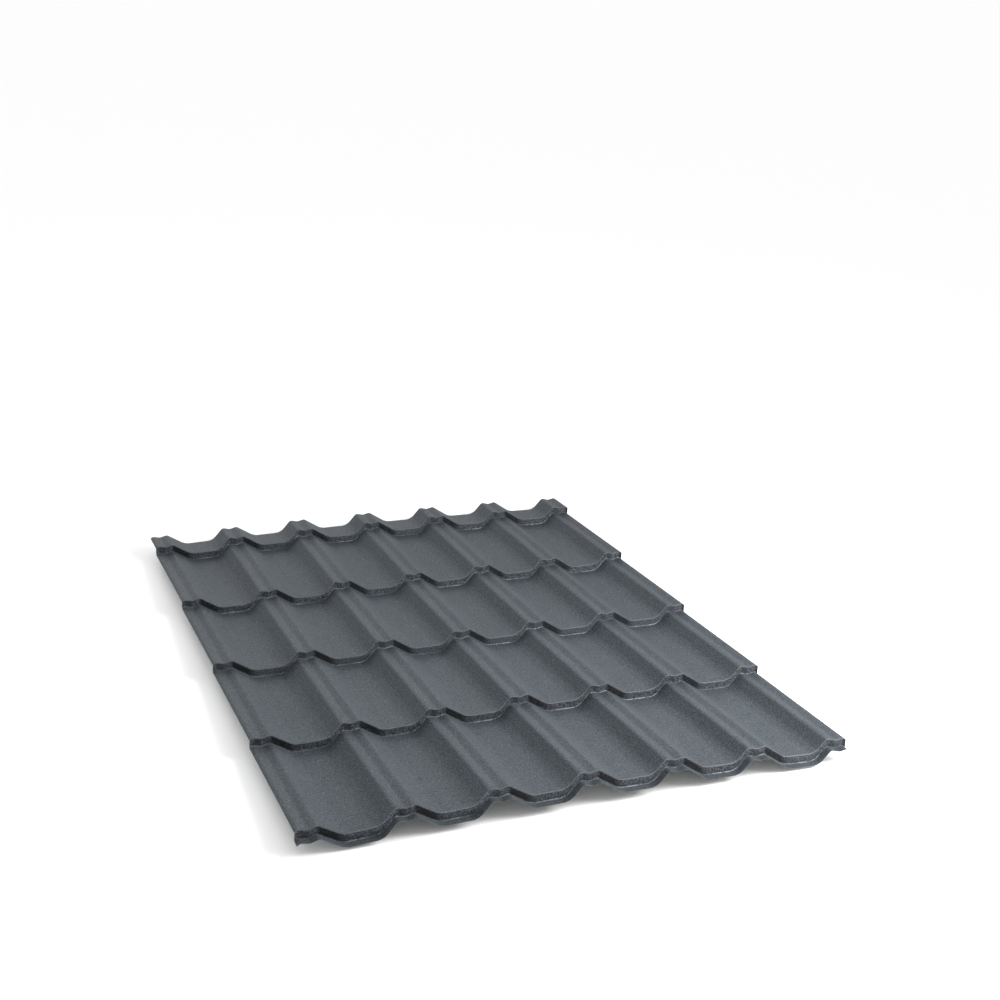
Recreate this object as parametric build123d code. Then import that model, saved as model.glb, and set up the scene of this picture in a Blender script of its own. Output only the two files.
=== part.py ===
from build123d import *
import os
from itertools import pairwise
from math import asin, atan2, cos, degrees, radians, sin, sqrt, tan

# Tile-effect roofing sheet, pressed from one coated steel strip.
# X runs across the waves, +Y up the roof slope, +Z away from the roof.
# The origin is on the floor under the middle of the sheet.

# Cover: what one sheet adds to the roof
cover_width = 1100.0
wave_count = 6
module_length = 350.0
row_count = 4

# Wave: a crest with two ridges and a groove between them, then a flat pan
crest_height = 30.0
right_ridge_drop = 0.2
groove_depth = 3.5
ridge_gap = 33.0
groove_place = 16.5
left_ridge_radius = 9.5
right_ridge_radius = 9.0
groove_radius = 13.0
fall_angle = 33.0
rise_angle = 49.5
pan_corner_radius = 40.0
foot_radius = 31.0

# Side edges: how far the side slopes run straight on past the bends of the two end crests
left_straight = 0.3
right_straight = 4.6

# Steps between the rows, and the plain strips at both ends
step_height = 18.0
step_undercut = 0.5
back_strip = 81.5
front_lip = 19.0

# Crown: how far the middle of a step line stands over its ends as the sheet lies
back_crown = 10.0
least_crown = 3.2
front_crown = 21.0

# Coated steel
sheet_thickness = 0.5

wave_pitch = cover_width / wave_count
row_slope = step_height / (module_length + step_undercut)
left_overhang = left_ridge_radius * sin(radians(rise_angle)) + left_straight
right_overhang = right_ridge_radius * sin(radians(fall_angle)) + right_straight
sheet_width = left_overhang + cover_width + ridge_gap + right_overhang
sheet_length = back_strip + row_count * module_length + front_lip - step_undercut
first_ridge = left_overhang - sheet_width / 2
first_step = sheet_length / 2 - back_strip


def wave_point(x, z):
    """Point of the wave's outline, where the top skin of a flat pan is level zero."""
    return Vector(x, 0, z)


def groove_slope(ridge, ridge_radius, groove, groove_radius):
    """Downward angle of the line that touches a ridge's circle and the groove's circle."""
    across = groove - ridge
    return degrees(asin((ridge_radius + groove_radius) / across.length) - atan2(across.Z, abs(across.X)))


def bend_corner(centre, radius, angle_before, angle_after):
    """Corner of the two lines that touch a ridge's circle, at these slopes down on each side."""
    reach = radius / cos(radians(angle_before + angle_after) / 2)
    tilt = radians(angle_after - angle_before) / 2
    return centre + wave_point(reach * sin(tilt), reach * cos(tilt))


def slope_run(centre, radius, angle):
    """Level distance from a ridge's middle to where its side slope meets the pan."""
    return (radius + centre.Z * cos(radians(angle))) / sin(radians(angle))


def one_wave():
    """Corners of one wave with their bend radii, where a hollow bend's radius is negative."""
    left = wave_point(0, crest_height - left_ridge_radius)
    groove = wave_point(groove_place, crest_height - groove_depth + groove_radius)
    right = wave_point(ridge_gap, crest_height - right_ridge_drop - right_ridge_radius)
    slope_in = groove_slope(left, left_ridge_radius, groove, groove_radius)
    slope_out = groove_slope(right, right_ridge_radius, groove, groove_radius)
    pan_corner = ridge_gap + slope_run(right, right_ridge_radius, fall_angle)
    foot = wave_pitch - slope_run(left, left_ridge_radius, rise_angle)
    return [
        (bend_corner(left, left_ridge_radius, rise_angle, slope_in), left_ridge_radius),
        (bend_corner(groove, -groove_radius, slope_in, slope_out), -groove_radius),
        (bend_corner(right, right_ridge_radius, slope_out, fall_angle), right_ridge_radius),
        (wave_point(pan_corner, 0), -pan_corner_radius),
        (wave_point(foot, 0), -foot_radius),
    ]


def wave_corners():
    """Every corner of the flat cross-section from left to right, with its bend radius."""
    pattern = one_wave()
    end_crest = pattern[:3]
    corners = [(wave_point(first_ridge + i * wave_pitch, 0) + at, bend)
               for i in range(wave_count) for at, bend in pattern]
    corners += [(wave_point(first_ridge + cover_width, 0) + at, bend) for at, bend in end_crest]
    return corners


def cross_section(depth, crown):
    """Line across the sheet at a depth under the top skin, its middle raised by the crown."""
    corners = wave_corners()
    bends = [bend for _, bend in corners]
    first, last = corners[0][0], corners[-1][0]
    half_width = sheet_width / 2
    left_end = wave_point(-half_width, first.Z - (first.X + half_width) * tan(radians(rise_angle)))
    right_end = wave_point(half_width, last.Z - (half_width - last.X) * tan(radians(fall_angle)))
    flat_line = [left_end, *(at for at, _ in corners), right_end]
    line = [at + wave_point(0, crown * (1 - (at.X / half_width) ** 2)) for at in flat_line]
    downs = [(b - a).normalized().rotate(Axis.Y, 90) for a, b in pairwise(line)]
    inner = [at + (before + after) * (depth / (1 + before.dot(after)))
             for at, before, after in zip(line[1:-1], downs, downs[1:])]
    left = line[0] + wave_point(0, depth / downs[0].Z)
    right = line[-1] + wave_point(0, depth / downs[-1].Z)
    radii = [abs(bend - depth) for bend in bends]
    return Wire(FilletPolyline(left, *inner, right, radius=radii).edges())


def crown_at(step):
    """Crown of a step line: a parabola over the length of the sheet, least between its two ends."""
    back_rise, front_rise = sqrt(back_crown - least_crown), sqrt(front_crown - least_crown)
    return least_crown + (back_rise - (back_rise + front_rise) * step / row_count) ** 2


def step_line(shift):
    """Lengthwise line from back to front as places with their crowns, its steps shifted up the rows."""
    row = Vector(0, 1, -row_slope)
    row_top = Vector(0, first_step, step_height)
    stations = [(row_top + row * back_strip, crown_at(0))]
    for step in range(row_count + 1):
        top = row_top + row * shift - Vector(0, step * module_length, 0)
        foot = top + Vector(0, step_undercut, -step_height)
        stations += [(top, crown_at(step)), (foot, crown_at(step))]
    stations.append((foot - row * (shift + front_lip), crown_at(row_count)))
    return stations


def skin(depth, shift):
    """Cross-sections of one skin at every place of the step line, and the faces between them."""
    stations = step_line(shift)
    lines = [cross_section(depth, crown).moved(Pos(at)) for at, crown in stations]
    faces = []
    for (line, (at, crown)), (next_line, (next_at, next_crown)) in pairwise(zip(lines, stations)):
        if crown == next_crown:
            faces += Shell.extrude(line, next_at - at).faces()
        else:
            pairs = zip(line.edges(), next_line.edges())
            faces += [Face.make_surface_from_curves(a, b) for a, b in pairs]
    return lines, faces


def end_face(top, under):
    """Cut end of the sheet across the waves."""
    joins = [Edge.make_line(top @ 0, under @ 0), Edge.make_line(top @ 1, under @ 1)]
    return Face(Wire([*top.edges(), *under.edges(), *joins]))


def side_face(top_lines, under_lines, end):
    """Slit edge of the sheet along the rows, at the start or the end of the cross-sections."""
    outline = [line @ end for line in top_lines] + [line @ end for line in reversed(under_lines)]
    return Face(Wire.make_polygon(outline, close=True))


def roofing_sheet():
    """The whole sheet as one solid between its top skin and its under skin."""
    shift = sheet_thickness / (1 - step_undercut * row_slope / step_height)
    top_lines, top_faces = skin(0, 0)
    under_lines, under_faces = skin(sheet_thickness, shift)
    ends = [end_face(top_lines[i], under_lines[i]) for i in (0, -1)]
    sides = [side_face(top_lines, under_lines, end) for end in (0, 1)]
    sheet = Solid(Shell(top_faces + under_faces + ends + sides))
    return Pos(0, 0, -sheet.bounding_box().min.Z) * sheet


os.makedirs("parts", exist_ok=True)
sheet = roofing_sheet()
export_step(sheet, "parts/roofing_sheet.step")
print("roofing_sheet", sheet.bounding_box().size, "valid", sheet.is_valid, "volume", sheet.volume)
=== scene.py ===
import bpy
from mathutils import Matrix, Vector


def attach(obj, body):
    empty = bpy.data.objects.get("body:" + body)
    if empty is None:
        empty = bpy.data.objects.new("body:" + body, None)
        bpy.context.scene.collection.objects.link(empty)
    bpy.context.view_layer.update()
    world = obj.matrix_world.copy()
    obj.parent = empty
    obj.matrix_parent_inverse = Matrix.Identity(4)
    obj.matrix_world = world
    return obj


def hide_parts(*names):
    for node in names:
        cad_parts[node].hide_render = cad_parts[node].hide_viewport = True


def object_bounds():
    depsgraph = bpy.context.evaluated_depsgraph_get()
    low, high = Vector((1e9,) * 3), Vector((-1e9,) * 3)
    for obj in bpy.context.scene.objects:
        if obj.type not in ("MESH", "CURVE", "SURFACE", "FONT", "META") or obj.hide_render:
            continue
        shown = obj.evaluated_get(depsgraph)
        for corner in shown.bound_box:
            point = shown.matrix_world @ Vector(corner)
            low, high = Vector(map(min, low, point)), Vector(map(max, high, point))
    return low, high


bl_info = {
    "name": "Tile-Effect Roofing Sheet",
    "version": (1, 0, 0),
    "blender": (4, 5, 0),
    "location": "3D View > Sidebar > Roofing Sheet",
    "description": "Builds a pressed, coated steel roofing sheet and the studio stage it lies on",
    "category": "Add Mesh",
}

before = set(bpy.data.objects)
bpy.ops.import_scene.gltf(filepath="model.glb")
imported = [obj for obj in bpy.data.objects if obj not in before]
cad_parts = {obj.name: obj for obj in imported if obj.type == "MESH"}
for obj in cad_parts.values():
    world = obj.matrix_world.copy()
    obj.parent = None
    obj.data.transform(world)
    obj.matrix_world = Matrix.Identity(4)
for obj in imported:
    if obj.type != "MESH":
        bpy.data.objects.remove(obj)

from math import pi, radians

import bpy
import numpy as np
from bpy.props import (
    FloatProperty, FloatVectorProperty, IntProperty, PointerProperty)
from mathutils import Vector

cad_box = [list(corner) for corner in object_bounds()]

# Points on each bend, and places between the bends, as shares of a straight run
WAVE_BEND_STEPS = 5
WAVE_RUN_PLACES = (0.04, 0.5, 0.96)
FOLD_STEPS = 6
ROW_RUN_PLACES = (0.015, 0.25, 0.5, 0.75, 0.985)

# Edges bent more sharply than this are shown as edges
SHARP_ANGLE = radians(40)

# Painted light and shade on the step walls, as shares of the wall's coat colour: painted shade on a fall,
# the level, and painted light on a rise, at the left side, and their change to the right side. Then the
# slopes of the fall and the rise, and the painted shade that darkens the wall towards crest height.
LEFT_WALL_PAINTED_SHADING = (0.07, 0.72, 1.35)
WALL_PAINTED_SHADING_CHANGES = (0.2, 0.5, -0.2)
FALL_SLOPE, RISE_SLOPE = -0.62, 1.2
CREST_PAINTED_SHADE = 0.15

# Painted light and shade on the rows' coat at places counted from each left ridge, in groove places:
# painted light on the rises and painted shade on the right flank of each groove
ROW_SHADING_PLACES = (-2.2, -1.7, -0.85, -0.35, 0.8, 1.45, 2.05)
ROW_PAINTED_SHADING = (1, 1.14, 1.14, 1, 1, 0.84, 1)

# How a step wall begins and ends along the lengthwise line: its mark over the share of fall there
WALL_MARK_GAIN, WALL_MARK_START = 1.6, 0.4

# Stage: half the floor's side, the lights' places and widths, and the camera
FLOOR_REACH = 200.0
KEY_PLACE, KEY_SIZE = (1.10, -1.10, 1.09), 0.89
REAR_WAY, REAR_SPREAD = (0.0, 0.97, 0.24), radians(50)
WHITE = (1.0, 1.0, 1.0, 1.0)
CAMERA_LENS, CAMERA_REACH = 55.9811, 500
CAMERA_PLACE = (-1.17057, -3.06092, 1.55361)
CAMERA_TURN = (69.9862, -2.3723, -21.5555)


# Sizes, finish and stage, as a user would set them

class SheetSizes(bpy.types.PropertyGroup):
    """Sizes of the pressed sheet, which are the solid part's own."""
    cover_width: FloatProperty(
        name="Cover Width", description="What one sheet adds to the roof across the waves",
        default=1.1, min=0.2, unit="LENGTH", precision=4)
    wave_count: IntProperty(
        name="Waves", description="Waves across the cover width", default=6, min=1, max=12)
    module_length: FloatProperty(
        name="Module Length", description="Distance from one step to the next",
        default=0.35, min=0.1, unit="LENGTH", precision=4)
    row_count: IntProperty(
        name="Rows", description="Tile rows between the first step and the last",
        default=4, min=1, max=12)
    crest_height: FloatProperty(
        name="Crest Height", description="Height of the left ridge over the flat pan",
        default=0.030, min=0.005, unit="LENGTH", precision=5)
    right_ridge_drop: FloatProperty(
        name="Right Ridge Drop", description="How much lower the right ridge is than the left",
        default=0.0002, min=0, unit="LENGTH", precision=5)
    groove_depth: FloatProperty(
        name="Groove Depth", description="Depth of the groove between the two ridges of a crest",
        default=0.0035, min=0.0005, unit="LENGTH", precision=5)
    ridge_gap: FloatProperty(
        name="Ridge Gap", description="Distance between the two ridges of a crest",
        default=0.033, min=0.01, unit="LENGTH", precision=5)
    groove_place: FloatProperty(
        name="Groove Place", description="Distance from the left ridge to the groove",
        default=0.0165, min=0.005, unit="LENGTH", precision=5)
    left_ridge_radius: FloatProperty(
        name="Left Ridge Radius", description="Bend radius of the left ridge",
        default=0.0095, min=0.001, unit="LENGTH", precision=5)
    right_ridge_radius: FloatProperty(
        name="Right Ridge Radius", description="Bend radius of the right ridge",
        default=0.009, min=0.001, unit="LENGTH", precision=5)
    groove_radius: FloatProperty(
        name="Groove Radius", description="Bend radius of the groove",
        default=0.013, min=0.001, unit="LENGTH", precision=5)
    fall_angle: FloatProperty(
        name="Fall Angle", description="Slope from the right ridge down to the pan",
        default=radians(33), min=radians(10), max=radians(80), unit="ROTATION")
    rise_angle: FloatProperty(
        name="Rise Angle", description="Slope from the pan up to the left ridge",
        default=radians(49.5), min=radians(10), max=radians(80), unit="ROTATION")
    pan_corner_radius: FloatProperty(
        name="Pan Corner Radius", description="Bend radius where the fall meets the pan",
        default=0.040, min=0.001, unit="LENGTH", precision=5)
    foot_radius: FloatProperty(
        name="Rise Foot Radius", description="Bend radius where the pan meets the rise",
        default=0.031, min=0.001, unit="LENGTH", precision=5)
    left_straight: FloatProperty(
        name="Left Straight", description="Straight slope past the bend of the first ridge",
        default=0.0003, min=0.0001, unit="LENGTH", precision=5)
    right_straight: FloatProperty(
        name="Right Straight", description="Straight slope past the bend of the last ridge",
        default=0.0046, min=0.0001, unit="LENGTH", precision=5)
    step_height: FloatProperty(
        name="Step Height", description="Height of the step wall between two rows",
        default=0.018, min=0.002, unit="LENGTH", precision=5)
    step_undercut: FloatProperty(
        name="Step Undercut", description="How far the foot of a step lies behind its top",
        default=0.0005, min=0, unit="LENGTH", precision=5)
    back_strip: FloatProperty(
        name="Back Strip", description="Plain strip behind the first step",
        default=0.0815, min=0.01, unit="LENGTH", precision=4)
    front_lip: FloatProperty(
        name="Front Lip", description="Plain strip in front of the last step",
        default=0.019, min=0.005, unit="LENGTH", precision=4)
    back_crown: FloatProperty(
        name="Back Crown", description="Rise of the middle of the first step line over its ends",
        default=0.010, min=0, unit="LENGTH", precision=4)
    least_crown: FloatProperty(
        name="Least Crown", description="Least rise of the middle of a step line, between the two ends",
        default=0.0032, min=0, unit="LENGTH", precision=4)
    front_crown: FloatProperty(
        name="Front Crown", description="Rise of the middle of the last step line over its ends",
        default=0.021, min=0, unit="LENGTH", precision=4)
    fold_radius: FloatProperty(
        name="Fold Radius", description="Radius of the folds at the top and foot of each step",
        default=0.002, min=0.0006, unit="LENGTH", precision=5)
    thickness: FloatProperty(
        name="Steel Thickness", description="Thickness of the steel with its coats",
        default=0.0005, min=0.0002, unit="LENGTH", precision=5)


class CoatFinish(bpy.types.PropertyGroup):
    """Colours and grain of the coats on the steel."""
    top_colour: FloatVectorProperty(
        name="Top Coat", description="Colour of the matt coat on the rows",
        default=(0.0426, 0.0513, 0.0597), min=0, max=1, subtype="COLOR")
    wall_colour: FloatVectorProperty(
        name="Step Walls", description="Colour of the coat where it is stretched on the step walls",
        default=(0.053, 0.059, 0.068), min=0, max=1, subtype="COLOR")
    # Painted highlight along the top folds of the steps, and the base colour of the painted highlight
    # along their feet
    fold_highlight_colour: FloatVectorProperty(
        name="Fold Lines", description="Colour of the rubbed coat along the folds",
        default=(0.18, 0.195, 0.21), min=0, max=1, subtype="COLOR")
    # Painted glints along the step feet
    glinting_colour: FloatVectorProperty(
        name="Worn Spots", description="Colour of the spots worn lightest along the step feet",
        default=(0.42, 0.44, 0.46), min=0, max=1, subtype="COLOR")
    speck_colour: FloatVectorProperty(
        name="Light Grains", description="Colour of the light grains in the coat",
        default=(0.15, 0.165, 0.18), min=0, max=1, subtype="COLOR")
    back_colour: FloatVectorProperty(
        name="Back Coat", description="Colour of the smooth coat on the underside",
        default=(0.30, 0.31, 0.31), min=0, max=1, subtype="COLOR")
    cut_colour: FloatVectorProperty(
        name="Cut Edge", description="Colour of the bare steel and zinc on the cut edges",
        default=(0.20, 0.21, 0.22), min=0, max=1, subtype="COLOR")
    grain_size: FloatProperty(
        name="Grain Size", description="Width of one grain of the sanded coat",
        default=0.0026, min=0.0002, unit="LENGTH", precision=5)
    grain_depth: FloatProperty(
        name="Grain Depth", description="Height of the grain over the coat",
        default=0.00025, min=0, unit="LENGTH", precision=5)
    roughness: FloatProperty(
        name="Roughness", description="Roughness of the matt coat", default=0.8, min=0, max=1,
        subtype="FACTOR")


class StageSettings(bpy.types.PropertyGroup):
    """Floor and light of the studio."""
    floor_colour: FloatVectorProperty(
        name="Floor", description="Colour of the plain floor",
        default=(0.95, 0.95, 0.95), min=0, max=1, subtype="COLOR")
    key_power: FloatProperty(
        name="Key Power", description="Power of the softbox to the right of the camera",
        default=44.0, min=0, unit="POWER")
    rear_strength: FloatProperty(
        name="Rear Strength", description="Strength of the low, broad light from behind",
        default=2.43, min=0)
    sky_strength: FloatProperty(
        name="Fill Strength", description="Strength of the light from all round", default=0.84, min=0)


# Shader maths

class Value:
    """A shader value. Arithmetic on it adds Math nodes to its graph."""

    def __init__(self, graph, socket):
        self.graph = graph
        self.socket = socket

    def __add__(self, other):
        return self.graph.maths("ADD", self, other)

    def __radd__(self, other):
        return self.graph.maths("ADD", other, self)

    def __sub__(self, other):
        return self.graph.maths("SUBTRACT", self, other)

    def __rsub__(self, other):
        return self.graph.maths("SUBTRACT", other, self)

    def __mul__(self, other):
        return self.graph.maths("MULTIPLY", self, other)


class Graph:
    """The nodes of one material."""

    def __init__(self, material):
        material.use_nodes = True
        self.tree = material.node_tree
        self.tree.nodes.clear()

    def node(self, kind, settings, inputs, output=0):
        """Adds a node, sets its settings first and then its sockets, and gives one output."""
        made = self.tree.nodes.new(kind)
        for name, setting in settings.items():
            setattr(made, name, setting)
        for key, value in inputs.items():
            if isinstance(value, Value):
                self.tree.links.new(value.socket, made.inputs[key])
            else:
                made.inputs[key].default_value = value
        return Value(self, made.outputs[output]) if made.outputs else made

    def maths(self, operation, *values):
        return self.node("ShaderNodeMath", {"operation": operation}, dict(enumerate(values)))

    def attribute(self, name):
        return self.node("ShaderNodeAttribute", {"attribute_name": name}, {}, "Fac")

    def noise(self, place, scale, detail, roughness=0.5):
        settings = {"noise_dimensions": "3D"}
        inputs = {"Vector": place, "Scale": scale, "Detail": detail, "Roughness": roughness}
        return self.node("ShaderNodeTexNoise", settings, inputs, "Fac")

    def ease(self, value, low, high):
        """Zero under the low value, one over the high one, and smooth between them."""
        inputs = {"Value": value, "From Min": low, "From Max": high}
        return self.node("ShaderNodeMapRange", {"interpolation_type": "SMOOTHSTEP"}, inputs)

    def blend(self, share, base, top):
        """Colour that goes from the base to the top colour as the share goes from zero to one."""
        settings = {"data_type": "RGBA", "blend_type": "MIX"}
        return self.node("ShaderNodeMix", settings, {0: share, 6: colour(base), 7: colour(top)}, 2)

    def shade(self, base, amount):
        """Colour times a value."""
        settings = {"operation": "SCALE"}
        return self.node("ShaderNodeVectorMath", settings, {0: base, "Scale": amount})

    def surface(self, shader):
        """Ends the material with one surface shader that has these inputs."""
        surface = self.node("ShaderNodeBsdfPrincipled", {}, shader)
        self.node("ShaderNodeOutputMaterial", {}, {"Surface": surface})


def colour(value):
    """A colour for a node: a link as it is, and three numbers with their alpha."""
    return value if isinstance(value, Value) else (*value, 1.0)


# Shape of the sheet

def unit(vectors):
    return vectors / np.linalg.norm(vectors, axis=-1, keepdims=True)


def rounded_line(corners, radii, bend_steps, run_places):
    """Points along straight runs whose corners are rounded, for any number of lines at once.

    A corner becomes an arc that touches both of its runs. The arc starts radius x tan(half the turn)
    before the corner, and its points turn evenly about a centre at radius / cos(half the turn) from it.
    """
    before = unit(corners[..., 1:-1, :] - corners[..., :-2, :])
    after = unit(corners[..., 2:, :] - corners[..., 1:-1, :])
    turn = np.arccos(np.clip((before * after).sum(-1, keepdims=True), -1, 1))
    radii = np.asarray(radii)[:, None]
    reach = radii * np.tan(turn / 2)
    start = corners[..., 1:-1, :] - before * reach
    end = corners[..., 1:-1, :] + after * reach
    centre = corners[..., 1:-1, :] + unit(after - before) * radii / np.cos(turn / 2)
    share = np.linspace(0, 1, bend_steps + 1)[:, None]
    turn, middle = turn[..., None, :], centre[..., None, :]
    from_start = np.sin((1 - share) * turn) * (start - centre)[..., None, :]
    from_end = np.sin(share * turn) * (end - centre)[..., None, :]
    arcs = middle + (from_start + from_end) / np.sin(turn)
    run_from = np.concatenate([corners[..., :1, :], end], axis=-2)[..., None, :]
    run_to = np.concatenate([start, corners[..., -1:, :]], axis=-2)[..., None, :]
    runs = run_from + (run_to - run_from) * np.asarray(run_places)[:, None]
    blocks = np.concatenate([runs[..., :-1, :, :], arcs], axis=-2)
    inner = blocks.reshape(*corners.shape[:-2], -1, 2)
    line = [corners[..., :1, :], inner, runs[..., -1, :, :], corners[..., -1:, :]]
    return np.concatenate(line, axis=-2)


def bend_marks(corner_count, bend_steps, run_places, first):
    """Zero along a rounded line, and up to one at the middle of every second bend from the first named."""
    rise = np.sin(pi * np.linspace(0, 1, bend_steps + 1))
    block = np.concatenate([np.zeros(len(run_places)), rise])
    marks = np.outer(np.arange(corner_count) % 2 == first, block).ravel()
    return np.concatenate([[0], marks, np.zeros(len(run_places) + 1)])


def groove_slope(ridge, ridge_radius, groove, groove_radius):
    """Downward angle of the line that touches a ridge's circle and the groove's circle.

    It is the angle whose sine is both radii over the distance of the centres, less the angle at which
    the groove's centre stands over the ridge's.
    """
    across = groove - ridge
    touch = np.arcsin((ridge_radius + groove_radius) / np.hypot(*across))
    return touch - np.arctan2(across[1], abs(across[0]))


def bend_corner(centre, radius, before, after):
    """Corner of the two lines that touch a ridge's circle, at these slopes down on each side.

    It stands radius / cos(half the sum of the slopes) from the centre, and leans by half of their
    difference.
    """
    reach = radius / np.cos((before + after) / 2)
    lean = (after - before) / 2
    return centre + reach * np.array([np.sin(lean), np.cos(lean)])


def wave_corners(sizes):
    """Corners of the flat cross-section from side to side, each with its bend radius.

    A wave is a ridge, a groove, a ridge and two corners of the pan, and it repeats at the wave pitch.
    """
    height, fall, rise = sizes.crest_height, sizes.fall_angle, sizes.rise_angle
    left_radius, right_radius = sizes.left_ridge_radius, sizes.right_ridge_radius
    pitch = wave_pitch(sizes)
    left = np.array([0, height - left_radius])
    groove = np.array([sizes.groove_place, height - sizes.groove_depth + sizes.groove_radius])
    right = np.array([sizes.ridge_gap, height - sizes.right_ridge_drop - right_radius])
    slope_in = groove_slope(left, left_radius, groove, sizes.groove_radius)
    slope_out = groove_slope(right, right_radius, groove, sizes.groove_radius)
    pan_corner = sizes.ridge_gap + (right_radius + right[1] * np.cos(fall)) / np.sin(fall)
    foot = pitch - (left_radius + left[1] * np.cos(rise)) / np.sin(rise)
    wave = np.array([
        bend_corner(left, left_radius, rise, slope_in),
        bend_corner(groove, -sizes.groove_radius, slope_in, slope_out),
        bend_corner(right, right_radius, slope_out, fall),
        [pan_corner, 0],
        [foot, 0],
    ])
    radii = [left_radius, sizes.groove_radius, right_radius, sizes.pan_corner_radius, sizes.foot_radius]
    half_width = sheet_width(sizes) / 2
    left_overhang, _ = overhangs(sizes)
    shift = np.array([pitch, 0]) * np.arange(sizes.wave_count + 1)[:, None, None]
    line = (wave + shift).reshape(-1, 2)[:-2] + [left_overhang - half_width, 0]
    left_end = [-half_width, line[0, 1] - (line[0, 0] + half_width) * np.tan(rise)]
    right_end = [half_width, line[-1, 1] - (half_width - line[-1, 0]) * np.tan(fall)]
    return np.vstack([left_end, line, right_end]), np.tile(radii, sizes.wave_count + 1)[:-2]


def wave_pitch(sizes):
    return sizes.cover_width / sizes.wave_count


def overhangs(sizes):
    """How far the sheet reaches past its first and last ridge: radius x sin(slope) + straight."""
    left = sizes.left_ridge_radius * np.sin(sizes.rise_angle) + sizes.left_straight
    right = sizes.right_ridge_radius * np.sin(sizes.fall_angle) + sizes.right_straight
    return left, right


def sheet_width(sizes):
    return sizes.cover_width + sizes.ridge_gap + sum(overhangs(sizes))


def sheet_length(sizes):
    rows = sizes.row_count * sizes.module_length
    return sizes.back_strip + rows + sizes.front_lip - sizes.step_undercut


def step_line(sizes):
    """Lengthwise line from back to front, as places and heights, with the crown at each corner.

    A row rises evenly towards the front by one step height over one module, and then a step wall
    drops it back to where it began, its foot a little behind its top. The crowns of the step lines
    follow a parabola over the length of the sheet, which is least between its two ends.
    """
    slope = sizes.step_height / (sizes.module_length + sizes.step_undercut)
    steps = sizes.row_count
    top_place = sheet_length(sizes) / 2 - sizes.back_strip - np.arange(steps + 1) * sizes.module_length
    tops = np.stack([top_place, np.full(steps + 1, sizes.step_height)], axis=1)
    feet = np.stack([top_place + sizes.step_undercut, np.zeros(steps + 1)], axis=1)
    back = tops[0] + np.array([1, -slope]) * sizes.back_strip
    front = feet[-1] - np.array([1, -slope]) * sizes.front_lip
    back_rise = (sizes.back_crown - sizes.least_crown) ** 0.5
    front_rise = (sizes.front_crown - sizes.least_crown) ** 0.5
    root = back_rise - (back_rise + front_rise) * np.arange(steps + 1) / steps
    crowns = sizes.least_crown + root ** 2
    line = np.vstack([back, np.stack([tops, feet], axis=1).reshape(-1, 2), front])
    return line, np.concatenate([crowns[:1], np.repeat(crowns, 2), crowns[-1:]])


def painted_wall_shading(across, crest_height):
    """Painted light and shade at each place across a step wall, as the share of the wall's coat colour
    that shows.

    It goes evenly with the slope of the cross-section, from the fall's value over the level one to the
    rise's, and these three go evenly from the left side to the right. It is then multiplied by
    1 - loss x (height / crest height) squared. The falls get painted shade, nearly black, the rises
    painted light, the right side more painted light than the left, and the wall is darker towards crest
    height.
    """
    slope = np.gradient(across[:, 1]) / np.gradient(across[:, 0])
    share = np.interp(across[:, 0], across[[0, -1], 0], (0, 1))
    fall, level, rise = (tone + change * share for tone, change in zip(LEFT_WALL_PAINTED_SHADING, WALL_PAINTED_SHADING_CHANGES))
    falling = np.clip(slope / FALL_SLOPE, 0, 1)
    rising = np.clip(slope / RISE_SLOPE, 0, 1)
    tone = level + falling * (fall - level) + rising * (rise - level)
    return tone * (1 - CREST_PAINTED_SHADE * (across[:, 1] / crest_height) ** 2)


def painted_row_shading(across, sizes):
    """Painted light and shade on the rows' coat at each place across the sheet, as a factor on its colour.

    It is most on the rises, which get painted light, least on the right flank of each groove, which gets
    painted shade, and one on the rest, and goes evenly between them.
    """
    pitch = wave_pitch(sizes)
    from_first = across[:, 0] - across[0, 0] - overhangs(sizes)[0]
    place = (from_first + pitch / 2) % pitch - pitch / 2
    return np.interp(place / sizes.groove_place, ROW_SHADING_PLACES, ROW_PAINTED_SHADING)


def top_skin(sizes):
    """Grid of points on the sheet's top face, back to front by left to right, and its marks for the coat.

    The height at a place is the lengthwise line's height plus the cross-section's. Before its bends
    are rounded, the cross-section's corners are raised by crown x (1 - (place / half width) squared),
    and the crown goes evenly from one step line to the next. The whole is lifted until the front step
    line, before its fold is rounded, is as high as the solid part. The marks are the walls and the
    folds along the rows, and the painted light and shade of walls and rows across them.
    """
    line, crowns = step_line(sizes)
    folds = len(line) - 2
    lengthwise = rounded_line(line, np.full(folds, sizes.fold_radius), FOLD_STEPS, ROW_RUN_PLACES)
    crown = np.interp(-lengthwise[:, 0], -line[:, 0], crowns)
    corners, radii = wave_corners(sizes)
    arch = 1 - (corners[:, 0] / (sheet_width(sizes) / 2)) ** 2
    raised = np.broadcast_to(corners, (len(crown), *corners.shape)).copy()
    raised[:, :, 1] += crown[:, None] * arch
    across = rounded_line(raised, radii, WAVE_BEND_STEPS, WAVE_RUN_PLACES)
    place = np.broadcast_to(lengthwise[:, :1], across.shape[:2])
    lift = cad_box[1][2] - sizes.step_height - across[-1, :, 1].max()
    points = np.stack([across[..., 0], place, across[..., 1] + lengthwise[:, 1:] + lift], axis=-1)
    fall = np.abs(np.gradient(lengthwise, axis=0))
    wall = np.clip(fall[:, 1] / fall.sum(1) * WALL_MARK_GAIN - WALL_MARK_START, 0, 1)
    tops = bend_marks(folds, FOLD_STEPS, ROW_RUN_PLACES, 0)
    feet = bend_marks(folds, FOLD_STEPS, ROW_RUN_PLACES, 1)
    level = rounded_line(corners, radii, WAVE_BEND_STEPS, WAVE_RUN_PLACES)
    return points, wall, tops, feet, painted_wall_shading(level, sizes.crest_height), painted_row_shading(level, sizes)


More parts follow.
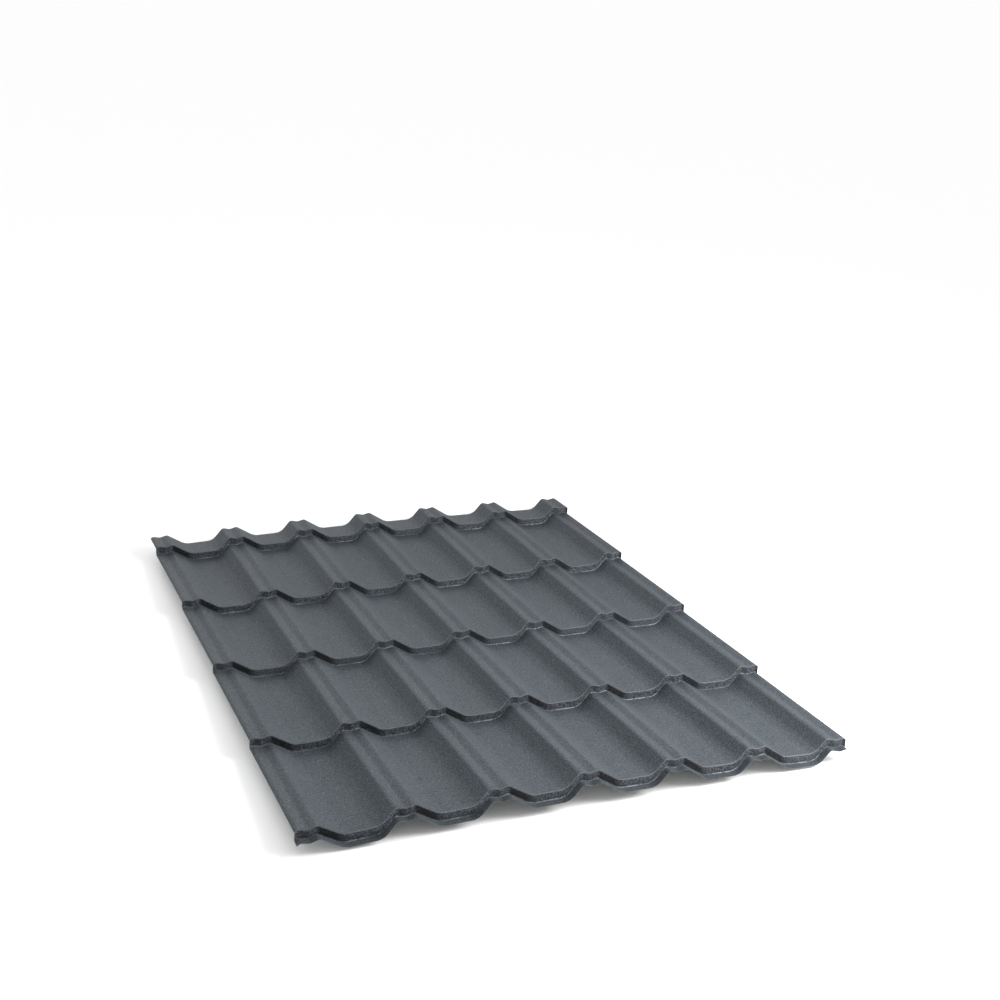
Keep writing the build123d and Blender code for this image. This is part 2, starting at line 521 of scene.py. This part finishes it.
def under_skin(top, thickness):
    """The top skin's points moved straight into the sheet by its thickness.

    The way in is the cross product of the grid's two directions. On the cut edges it is kept in the
    plane of the cut, and its length becomes one over what is left of it, which is where the plane
    of the cut meets the under face. No point goes past the slit sides.
    """
    along, across = np.gradient(top, axis=(0, 1))
    inward = -unit(np.cross(along, across))
    inward[[0, -1], :, 1] = 0
    inward[:, [0, -1], 0] = 0
    under = top + inward / (inward ** 2).sum(-1, keepdims=True) * thickness
    under[..., 0] = np.clip(under[..., 0], top[..., 0].min(), top[..., 0].max())
    return under


def sheet_faces(rows, columns):
    """Corner numbers of a closed sheet's faces, all turned outwards.

    The faces between neighbouring points of the top grid come first, then the same of the under grid
    turned round, and then a band between the rims of the two grids.
    """
    number = np.arange(rows * columns).reshape(rows, columns)
    corners = [number[:-1, :-1], number[1:, :-1], number[1:, 1:], number[:-1, 1:]]
    top = np.stack(corners, axis=-1).reshape(-1, 4)
    under = top[:, ::-1] + rows * columns
    rim = np.concatenate([number[0, :-1], number[:-1, -1], number[-1, :0:-1], number[:0:-1, 0]])
    on = np.roll(rim, -1)
    band = np.stack([rim, on, on + rows * columns, rim + rows * columns], axis=-1)
    return top, under, band


def mesh_object(name, points, faces):
    """A mesh object at the origin, smooth but for its sharp edges."""
    mesh = bpy.data.meshes.new(name)
    mesh.vertices.add(len(points))
    mesh.vertices.foreach_set("co", points.astype(np.float32).ravel())
    mesh.loops.add(faces.size)
    mesh.loops.foreach_set("vertex_index", faces.astype(np.int32).ravel())
    mesh.polygons.add(len(faces))
    mesh.polygons.foreach_set("loop_start", np.arange(len(faces), dtype=np.int32) * 4)
    mesh.update(calc_edges=True)
    mesh.validate()
    mesh.shade_smooth()
    mesh.set_sharp_from_angle(angle=SHARP_ANGLE)
    made = bpy.data.objects.new(name, mesh)
    bpy.context.scene.collection.objects.link(made)
    return made


def point_mark(mesh, name, values):
    """A named value at each point of a mesh, for its material."""
    mark = mesh.attributes.new(name, "FLOAT", "POINT")
    mark.data.foreach_set("value", values.astype(np.float32).ravel())


# Finishes

def coated_steel(finish):
    """Matt, sanded coat on steel, with grains and specks, painted light and shade on the walls and rows,
    painted highlights along the folds and painted glints along the feet, and a plain back coat.
    """
    material = bpy.data.materials.new("coated_steel")
    graph = Graph(material)
    place = graph.node("ShaderNodeTexCoord", {}, {}, "Object")
    fine = graph.noise(place, 1 / finish.grain_size, 1)
    coarse = graph.noise(place, 0.4 / finish.grain_size, 2, 0.6)
    cloud = graph.noise(place, 5, 3)
    glint_patches = graph.noise(place, 14, 2)
    wall = graph.attribute("step_wall")
    tone = graph.attribute("painted_wall_shading")
    fold = graph.attribute("top_fold")
    foot = graph.attribute("foot_fold")
    under = graph.attribute("underside")
    # Painted light on the rises and painted shade on the right flanks of the grooves
    row_coat = graph.shade(finish.top_colour, graph.attribute("painted_row_shading"))
    # Painted light and shade on the step walls: falls nearly black, rises light, lighter to the right
    coat = graph.blend(wall, row_coat, graph.shade(finish.wall_colour, tone))
    fine_contrast = 2.6 + wall * 0.9
    coarse_contrast = 0.4 + wall * 0.3
    grain = 1 + (fine - 0.5) * fine_contrast + (coarse - 0.5) * coarse_contrast
    coat = graph.shade(coat, grain + (cloud - 0.5) * 0.25)
    # Light grains of the coat; on the walls their amount follows the painted light and shade
    speck_share = 0.16 + wall * tone * 0.5
    coat = graph.blend(graph.ease(fine, 0.6, 0.75) * speck_share, coat, finish.speck_colour)
    # Painted highlight along the top folds, faint where the wall has painted shade
    fold_highlight_share = 0.05 + tone * 0.38
    coat = graph.blend(fold * fold_highlight_share, coat, finish.fold_highlight_colour)
    # Painted highlight along the step feet, with painted glints in patches, following the painted wall
    # shading
    highlighted = graph.ease(glint_patches, 0.4, 0.6) * graph.ease(coarse, 0.35, 0.55) * tone
    glinting = graph.blend(highlighted, finish.fold_highlight_colour, finish.glinting_colour)
    foot_highlight_share = tone * 0.14 + highlighted * 0.35
    coat = graph.blend(foot * foot_highlight_share, coat, glinting)
    back = graph.shade(finish.back_colour, 0.85 + cloud * 0.2 + fine * 0.1)
    coat = graph.blend(under, coat, back)
    rough = finish.roughness + (coarse - 0.5) * 0.2 - under * (0.35 + cloud * 0.1)
    height = (fine + coarse) * (1 - under * 0.95)
    relief = {"Strength": 0.6, "Distance": finish.grain_depth, "Height": height}
    bump = graph.node("ShaderNodeBump", {}, relief)
    shader = {"Base Color": coat, "Roughness": rough, "Specular IOR Level": 0.25, "Normal": bump}
    graph.surface(shader)
    return material


def cut_steel(finish):
    """Bare steel and zinc on the sheared edges, with fine streaks through its thickness."""
    material = bpy.data.materials.new("cut_steel")
    graph = Graph(material)
    place = graph.node("ShaderNodeTexCoord", {}, {}, "Object")
    streaks = graph.noise(place, 900, 2)
    tone = graph.shade(graph.blend(streaks, finish.cut_colour, finish.top_colour), 0.8 + streaks * 0.4)
    shader = {"Base Color": tone, "Metallic": 0.6, "Roughness": 0.4 + streaks * 0.3}
    graph.surface(shader)
    return material


def floor_paper(settings):
    """Plain, matt, pale paper of the studio floor."""
    material = bpy.data.materials.new("floor_paper")
    graph = Graph(material)
    shader = {"Base Color": colour(settings.floor_colour), "Roughness": 1.0, "Specular IOR Level": 0.0}
    graph.surface(shader)
    return material


def soft_light(name, kind, way, power, spread):
    """Light aimed at the middle of the sheet from a place or a direction, and not seen itself."""
    light = bpy.data.lights.new(name, kind)
    light.energy = power
    setattr(light, "angle" if kind == "SUN" else "size", spread)
    lamp = bpy.data.objects.new(name, light)
    lamp.location = way
    lamp.rotation_euler = Vector(way).to_track_quat("Z", "Y").to_euler()
    lamp.visible_camera = False
    bpy.context.scene.collection.objects.link(lamp)


# Operators

class RoofingSheetAdd(bpy.types.Operator):
    """Add the pressed steel sheet with its top coat, back coat and cut edges"""
    bl_idname = "roofing.add_sheet"
    bl_label = "Add Roofing Sheet"

    def execute(self, context):
        sizes, finish = context.scene.sheet_sizes, context.scene.coat_finish
        top, wall, top_fold, foot_fold, painted_wall_shadings, painted_row_shadings = top_skin(sizes)
        rows, columns = top.shape[:2]
        points = np.concatenate([top, under_skin(top, sizes.thickness)]).reshape(-1, 3)
        faces = sheet_faces(rows, columns)
        sheet = mesh_object("roofing_sheet_steel", points, np.concatenate(faces))
        for name, marks in (("step_wall", wall), ("top_fold", top_fold), ("foot_fold", foot_fold)):
            point_mark(sheet.data, name, np.tile(np.repeat(marks, columns), 2))
        # Painted light and shade across the step walls and across the rows
        point_mark(sheet.data, "painted_wall_shading", np.tile(painted_wall_shadings, 2 * rows))
        point_mark(sheet.data, "painted_row_shading", np.tile(painted_row_shadings, 2 * rows))
        point_mark(sheet.data, "underside", np.repeat([0.0, 1.0], rows * columns))
        sheet.data.materials.append(coated_steel(finish))
        sheet.data.materials.append(cut_steel(finish))
        finishes = np.zeros(len(sheet.data.polygons), np.int32)
        finishes[-len(faces[-1]):] = 1
        sheet.data.polygons.foreach_set("material_index", finishes)
        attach(sheet, "root")
        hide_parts("roofing_sheet")
        return {"FINISHED"}


class RoofingStageAdd(bpy.types.Operator):
    """Add the pale floor, the soft light and the camera"""
    bl_idname = "roofing.add_stage"
    bl_label = "Add Stage"

    def execute(self, context):
        settings = context.scene.stage_settings
        corners = np.array([[-1, -1, 0], [1, -1, 0], [1, 1, 0], [-1, 1, 0]]) * FLOOR_REACH
        floor = mesh_object("studio_floor", corners, np.arange(4)[None])
        floor.data.materials.append(floor_paper(settings))
        soft_light("key_softbox", "AREA", KEY_PLACE, settings.key_power, KEY_SIZE)
        soft_light("rear_sun", "SUN", REAR_WAY, settings.rear_strength, REAR_SPREAD)
        world = bpy.data.worlds.new("studio_light")
        world.use_nodes = True
        sky = world.node_tree.nodes["Background"]
        sky.inputs["Color"].default_value = WHITE
        sky.inputs["Strength"].default_value = settings.sky_strength
        context.scene.world = world
        context.scene.view_settings.view_transform = "Standard"
        camera = bpy.data.cameras.new("camera")
        camera.lens = CAMERA_LENS
        camera.clip_end = CAMERA_REACH
        view = bpy.data.objects.new("camera", camera)
        view.location = CAMERA_PLACE
        view.rotation_euler = [radians(turn) for turn in CAMERA_TURN]
        context.scene.collection.objects.link(view)
        context.scene.camera = view
        return {"FINISHED"}


class RoofingPanel(bpy.types.Panel):
    """Sizes, finish and stage of the roofing sheet"""
    bl_idname = "VIEW3D_PT_roofing_sheet"
    bl_label = "Roofing Sheet"
    bl_space_type = "VIEW_3D"
    bl_region_type = "UI"
    bl_category = "Roofing Sheet"

    def draw(self, context):
        scene = context.scene
        parts = (
            (scene.sheet_sizes, RoofingSheetAdd),
            (scene.coat_finish, None),
            (scene.stage_settings, RoofingStageAdd),
        )
        for settings, operator in parts:
            box = self.layout.box()
            for name in settings.bl_rna.properties.keys():
                if name not in ("rna_type", "name"):
                    box.prop(settings, name)
            if operator:
                box.operator(operator.bl_idname)


CLASSES = (SheetSizes, CoatFinish, StageSettings, RoofingSheetAdd, RoofingStageAdd, RoofingPanel)


def register():
    for made in CLASSES:
        bpy.utils.register_class(made)
    bpy.types.Scene.sheet_sizes = PointerProperty(type=SheetSizes)
    bpy.types.Scene.coat_finish = PointerProperty(type=CoatFinish)
    bpy.types.Scene.stage_settings = PointerProperty(type=StageSettings)


def unregister():
    del bpy.types.Scene.stage_settings
    del bpy.types.Scene.coat_finish
    del bpy.types.Scene.sheet_sizes
    for made in reversed(CLASSES):
        bpy.utils.unregister_class(made)


def main():
    register()
    bpy.ops.roofing.add_sheet()
    bpy.ops.roofing.add_stage()


if __name__ == "__main__":
    main()
